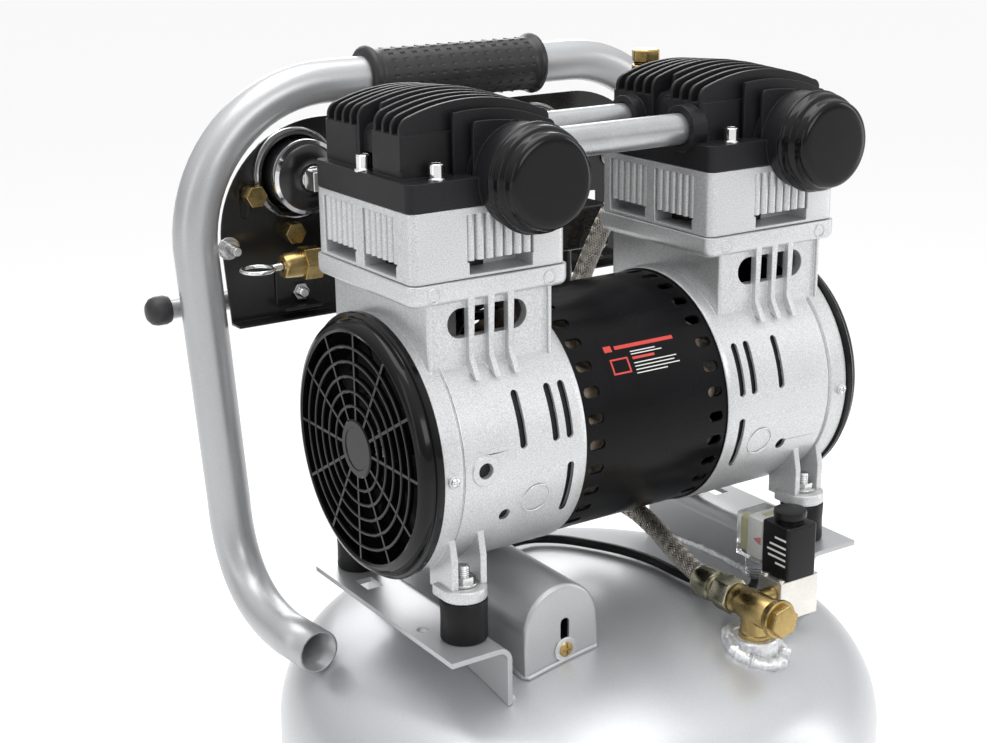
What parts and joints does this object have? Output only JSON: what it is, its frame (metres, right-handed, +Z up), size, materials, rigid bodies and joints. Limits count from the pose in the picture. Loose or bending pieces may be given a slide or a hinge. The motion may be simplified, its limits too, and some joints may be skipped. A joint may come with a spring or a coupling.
{
  "type": "air compressor",
  "caption": "Upright oil-free air compressor: a twin-cylinder piston pump on a wheeled receiver tank with a loop handle and a control panel.",
  "frame": {"origin": "floor, under the centre of the outer box", "axes": "+Z up, X along the motor shaft, +Y towards the handle and the control panel"},
  "size_m": [0.444, 0.432, 0.8465],
  "materials": {
    "silver_paint": "smooth metallic silver powder coat",
    "cast_silver": "sparkling sand-cast and painted grain",
    "black_paint": "semi-gloss black",
    "black_cast": "rough textured black",
    "black_plastic": "smooth moulded black",
    "rubber": "matt moulded rubber",
    "tyre": "ribbed solid tyre",
    "steel": "bright plated",
    "braid": "woven stainless wire",
    "brass": "machined brass",
    "aluminium_tube": "drawn tube, lightly frosted",
    "copper_winding": "varnished windings on laminated steel",
    "red_plastic": "moulded red"
  },
  "bodies": {
    "root": {"tank_shell": "silver_paint", "handle_tube": "silver_paint", "hose_bar": "silver_paint", "bracket_left": "silver_paint", "bracket_right": "silver_paint", "capacitor_cover": "silver_paint", "base_frame": "black_paint", "control_panel": "black_paint", "manifold": "black_paint", "motor_shell": "black_paint", "axle": "steel", "coupler": "steel", "valve_plate_left": "steel", "valve_plate_right": "steel", "solenoid_valve": "steel", "tank_gauge": "steel", "outlet_gauge": "steel", "drain_valve": "brass", "check_valve": "brass", "safety_valve": "brass", "handle_grip": "rubber", "base_foot_left": "rubber", "base_foot_right": "rubber", "mount_front_left": "rubber", "mount_front_right": "rubber", "mount_rear_left": "rubber", "mount_rear_right": "rubber", "coil_lead": "rubber", "regulator": "black_plastic", "pressure_switch": "black_plastic", "solenoid_coil": "black_plastic", "capacitor": "black_plastic", "intake_filter_left": "black_plastic", "intake_filter_right": "black_plastic", "fan_cover_left": "black_plastic", "fan_cover_right": "black_plastic", "cylinder_head_left": "black_cast", "cylinder_head_right": "black_cast", "crankcase_left": "cast_silver", "crankcase_right": "cast_silver", "cylinder_block_left": "cast_silver", "cylinder_block_right": "cast_silver", "braided_hose": "braid", "transfer_tube_front": "aluminium_tube", "transfer_tube_rear": "aluminium_tube", "stator": "copper_winding"},
    "rotor": {"motor_shaft": "steel", "cooling_fan_left": "black_plastic", "cooling_fan_right": "black_plastic"},
    "rod_left": {"connecting_rod_left": "cast_silver"},
    "rod_right": {"connecting_rod_right": "cast_silver"},
    "wheel_left": {"wheel_left": "tyre"},
    "wheel_right": {"wheel_right": "tyre"},
    "tank_needle": {"tank_needle": "red_plastic"},
    "outlet_needle": {"outlet_needle": "red_plastic"},
    "regulator_knob": {"regulator_knob": "black_plastic"},
    "switch_lever": {"switch_lever": "red_plastic"},
    "coupler_sleeve": {"coupler_sleeve": "brass"},
    "safety_ring": {"safety_ring": "steel"},
    "drain_lever": {"drain_lever": "red_plastic"}
  },
  "joints": [
    {"name": "motor_spin", "type": "hinge", "parent": "root", "child": "rotor", "pos_m": [0.008, -0.034, 0.651], "axis": [1, 0, 0], "continuous": true},
    {"name": "rod_left_pin", "type": "hinge", "parent": "rotor", "child": "rod_left", "pos_m": [-0.087, -0.034, 0.645], "axis": [1, 0, 0], "continuous": true},
    {"name": "rod_right_pin", "type": "hinge", "parent": "rotor", "child": "rod_right", "pos_m": [0.103, -0.034, 0.657], "axis": [1, 0, 0], "continuous": true},
    {"name": "wheel_left_spin", "type": "hinge", "parent": "root", "child": "wheel_left", "pos_m": [-0.2, 0.127, 0.089], "axis": [1, 0, 0], "continuous": true},
    {"name": "wheel_right_spin", "type": "hinge", "parent": "root", "child": "wheel_right", "pos_m": [0.2, 0.127, 0.089], "axis": [1, 0, 0], "continuous": true},
    {"name": "tank_needle_turn", "type": "hinge", "parent": "root", "child": "tank_needle", "pos_m": [-0.108, 0.099, 0.777], "axis": [0, -1, 0], "range_deg": [0, 270], "stiffness_Nm_per_rad": 0.0005},
    {"name": "outlet_needle_turn", "type": "hinge", "parent": "root", "child": "outlet_needle", "pos_m": [0.058, 0.099, 0.777], "axis": [0, -1, 0], "range_deg": [0, 270], "stiffness_Nm_per_rad": 0.0005},
    {"name": "regulator_turn", "type": "hinge", "parent": "root", "child": "regulator_knob", "pos_m": [-0.03, 0.111, 0.76], "axis": [0, 1, 0], "range_deg": [-150, 150]},
    {"name": "switch_rock", "type": "hinge", "parent": "root", "child": "switch_lever", "pos_m": [0.014, 0.089, 0.726], "axis": [1, 0, 0], "range_deg": [0, 14]},
    {"name": "sleeve_slide", "type": "slide", "parent": "root", "child": "coupler_sleeve", "axis": [0, -1, 0], "range_m": [0, 0.004], "stiffness_N_per_m": 800},
    {"name": "safety_pull", "type": "slide", "parent": "root", "child": "safety_ring", "axis": [-1, 0, 0], "range_m": [0, 0.004], "stiffness_N_per_m": 800},
    {"name": "drain_turn", "type": "hinge", "parent": "root", "child": "drain_lever", "pos_m": [0, -0.08, 0.073], "axis": [0, 0, 1], "range_deg": [0, 90]}
  ],
  "couplings": [
    {"joint": "rod_left_pin", "follows": "motor_spin", "ratio": -1},
    {"joint": "rod_right_pin", "follows": "motor_spin", "ratio": -1}
  ]
}
